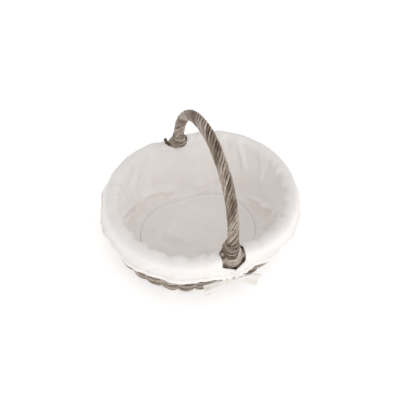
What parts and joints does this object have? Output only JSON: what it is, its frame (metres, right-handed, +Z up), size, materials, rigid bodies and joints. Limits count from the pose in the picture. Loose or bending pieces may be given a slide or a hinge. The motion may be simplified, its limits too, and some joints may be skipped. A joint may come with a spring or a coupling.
{
  "type": "flower girl basket",
  "caption": "Oval lined willow basket with a fixed roped bow handle, and a cotton lining folded out over its border and tied under each foot.",
  "frame": {"origin": "middle of the foot ring, on the surface the basket stands on", "axes": "+Z up, +X along the long way of the oval, the handle in the plane x = 0 with its near foot at -Y"},
  "size_m": [0.3412, 0.2978, 0.274],
  "materials": {
    "willow": "washed, matt",
    "willow_stick": "washed, matt",
    "willow_roping": "peeled, satin",
    "willow_skein": "split, matt",
    "cotton": "plain weave, unpressed",
    "cotton_tie": "plain weave, unpressed"
  },
  "bodies": {
    "root": {"base_cross_sticks": "willow_stick", "base_long_sticks": "willow_stick", "base_weave": "willow", "foot_ring": "willow", "stakes": "willow_stick", "lower_waling": "willow", "side_weave": "willow", "upper_waling": "willow", "border": "willow", "handle_bow": "willow_stick", "handle_roping": "willow_roping", "near_collar": "willow_skein", "far_collar": "willow_skein", "near_lashing": "willow_roping", "far_lashing": "willow_roping", "near_cut_end": "willow_stick", "far_cut_end": "willow_stick", "lining_left": "cotton", "lining_right": "cotton", "lining_bottom": "cotton", "near_tie_left": "cotton_tie", "near_tie_right": "cotton_tie", "near_tie_knot": "cotton_tie", "far_tie_left": "cotton_tie", "far_tie_right": "cotton_tie", "far_tie_knot": "cotton_tie"}
  },
  "joints": []
}
